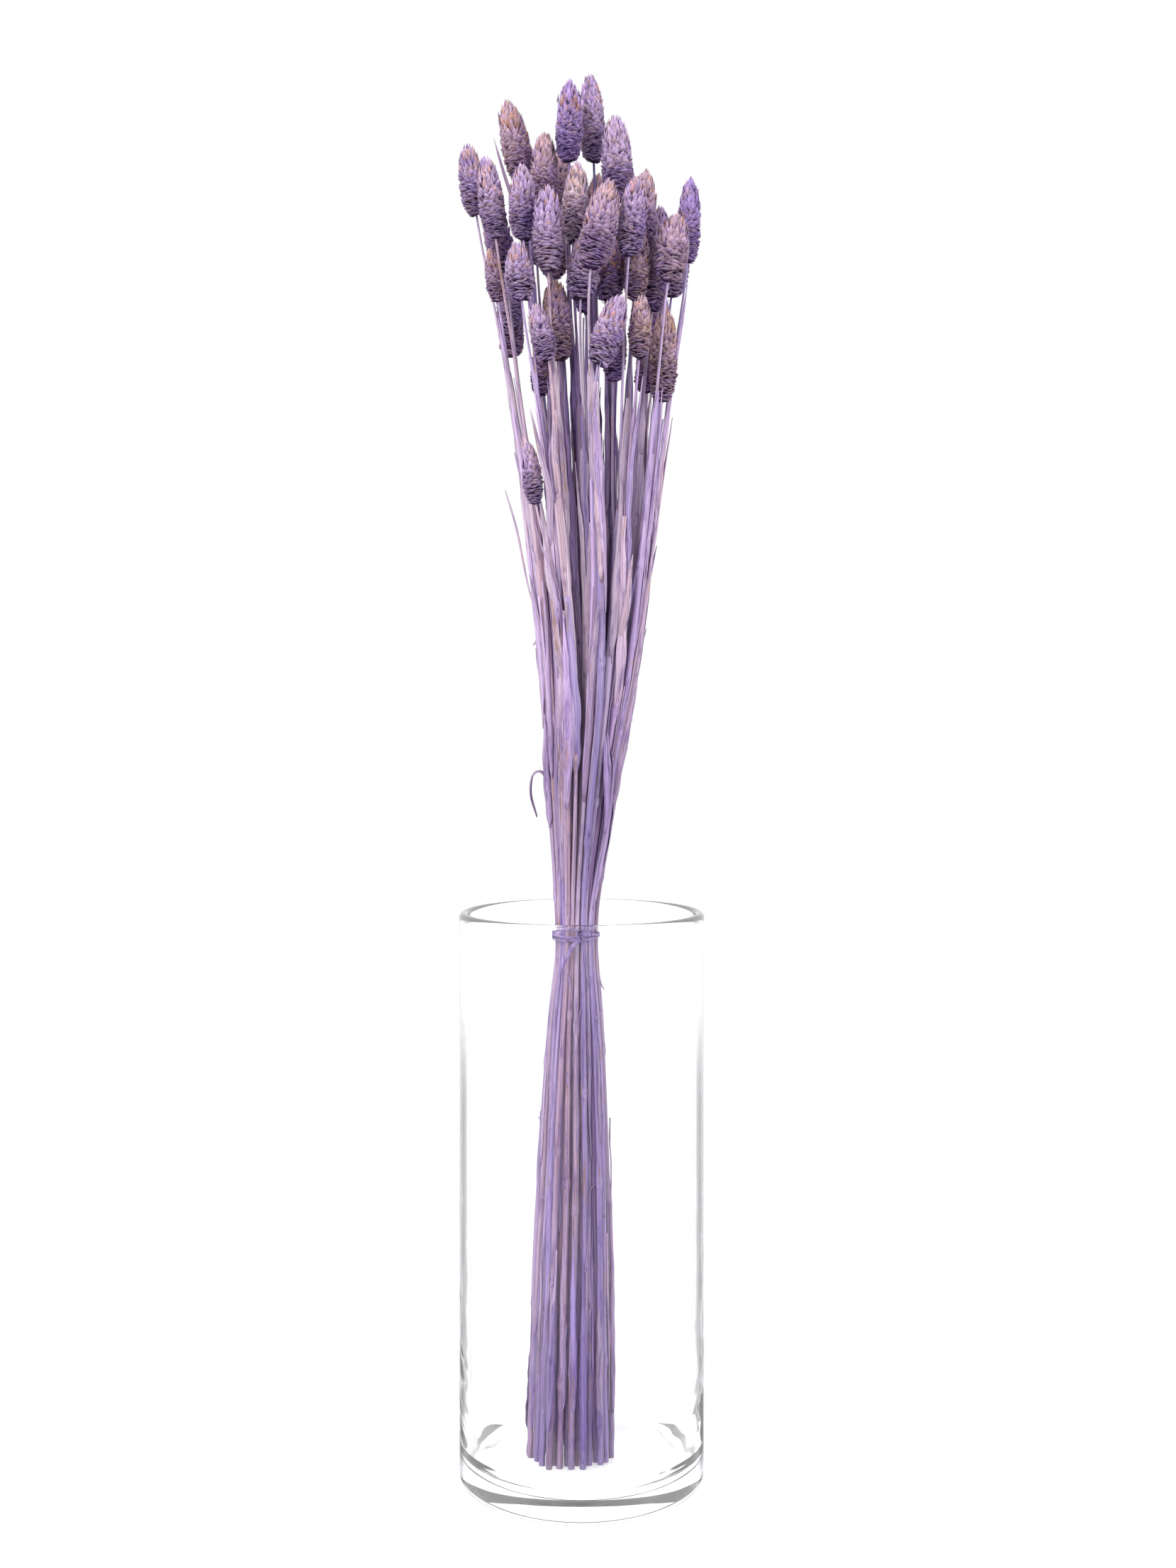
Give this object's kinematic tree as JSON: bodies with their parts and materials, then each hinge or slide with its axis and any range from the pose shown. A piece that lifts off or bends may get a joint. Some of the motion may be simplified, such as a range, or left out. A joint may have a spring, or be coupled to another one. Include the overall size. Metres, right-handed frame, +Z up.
{
  "type": "dried canary grass bunch in a vase",
  "caption": "Tied bunch of dried, dyed canary grass with plump scaly seed heads, standing in a clear glass cylinder vase.",
  "frame": {"origin": "centre of the vase's foot, on the surface it stands on", "axes": "+Z up along the vase's axis; the front, as pictured, is seen looking along +Y, with +X to the right"},
  "size_m": [0.1211, 0.12, 0.6888],
  "materials": {
    "glass": "clear, smooth, fire-polished rim",
    "cord": "matt dyed raffia, twisted",
    "dried_grass": "dry straw, matt, dyed lilac with undyed tan patches"
  },
  "bodies": {
    "root": {"vase": "glass", "tie": "cord", "stem_01": "dried_grass", "stem_02": "dried_grass", "stem_03": "dried_grass", "stem_04": "dried_grass", "stem_05": "dried_grass", "stem_06": "dried_grass", "stem_07": "dried_grass", "stem_08": "dried_grass", "stem_09": "dried_grass", "stem_10": "dried_grass", "stem_11": "dried_grass", "stem_12": "dried_grass", "stem_13": "dried_grass", "stem_14": "dried_grass", "stem_15": "dried_grass", "stem_16": "dried_grass", "stem_17": "dried_grass", "stem_18": "dried_grass", "stem_19": "dried_grass", "stem_20": "dried_grass", "stem_21": "dried_grass", "stem_22": "dried_grass", "stem_23": "dried_grass", "stem_24": "dried_grass", "stem_25": "dried_grass", "stem_26": "dried_grass", "stem_27": "dried_grass", "stem_28": "dried_grass", "stem_29": "dried_grass", "stem_30": "dried_grass", "stem_31": "dried_grass", "stem_32": "dried_grass", "stem_33": "dried_grass", "stem_34": "dried_grass", "stem_35": "dried_grass", "stem_36": "dried_grass", "stem_37": "dried_grass", "stem_38": "dried_grass", "stem_39": "dried_grass", "stem_40": "dried_grass", "stem_41": "dried_grass", "stem_42": "dried_grass", "stem_43": "dried_grass", "stem_44": "dried_grass", "stem_45": "dried_grass", "stem_46": "dried_grass", "stem_47": "dried_grass", "stem_48": "dried_grass", "stem_49": "dried_grass", "stem_50": "dried_grass", "stem_51": "dried_grass", "stem_52": "dried_grass", "stem_53": "dried_grass", "stem_54": "dried_grass", "stem_55": "dried_grass", "stem_56": "dried_grass"}
  },
  "joints": []
}
